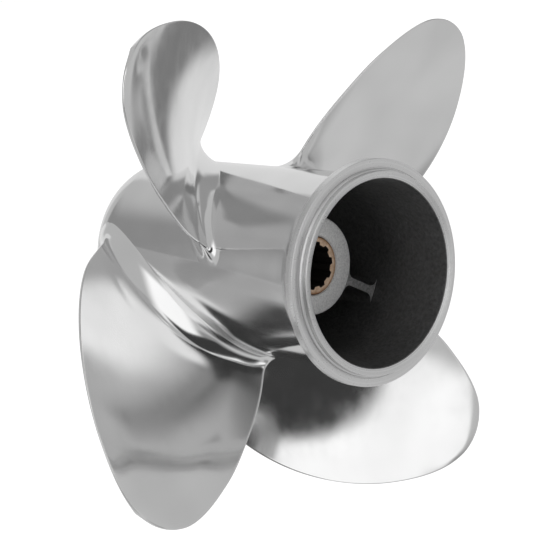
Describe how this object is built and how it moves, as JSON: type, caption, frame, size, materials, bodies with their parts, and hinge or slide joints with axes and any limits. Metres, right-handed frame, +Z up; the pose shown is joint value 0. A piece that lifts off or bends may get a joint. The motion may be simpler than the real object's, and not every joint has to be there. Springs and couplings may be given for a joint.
{
  "type": "outboard boat propeller",
  "caption": "Right-hand stainless boat propeller with raked, cupped blades on a through-hub exhaust barrel, flared diffuser ring, rubber bush and splined bronze drive sleeve.",
  "frame": {"origin": "on the shaft axis, in the plane of the drive sleeve's forward thrust face", "axes": "+Y along the shaft towards the boat, +X to starboard, +Z up"},
  "size_m": [0.1974, 0.1353, 0.1974],
  "materials": {
    "polished_stainless": "mirror polished",
    "machined_stainless": "fine turned",
    "cast_stainless": "matte blasted casting",
    "rubber": "matte",
    "bronze": "dull, lightly oxidised"
  },
  "bodies": {
    "root": {"barrel": "polished_stainless", "blade_1": "polished_stainless", "blade_2": "polished_stainless", "blade_3": "polished_stainless", "blade_4": "polished_stainless", "diffuser_ring": "machined_stainless", "inner_hub": "cast_stainless", "web_1": "cast_stainless", "web_2": "cast_stainless", "web_3": "cast_stainless", "rubber_bush": "rubber", "drive_sleeve": "bronze"}
  },
  "joints": []
}
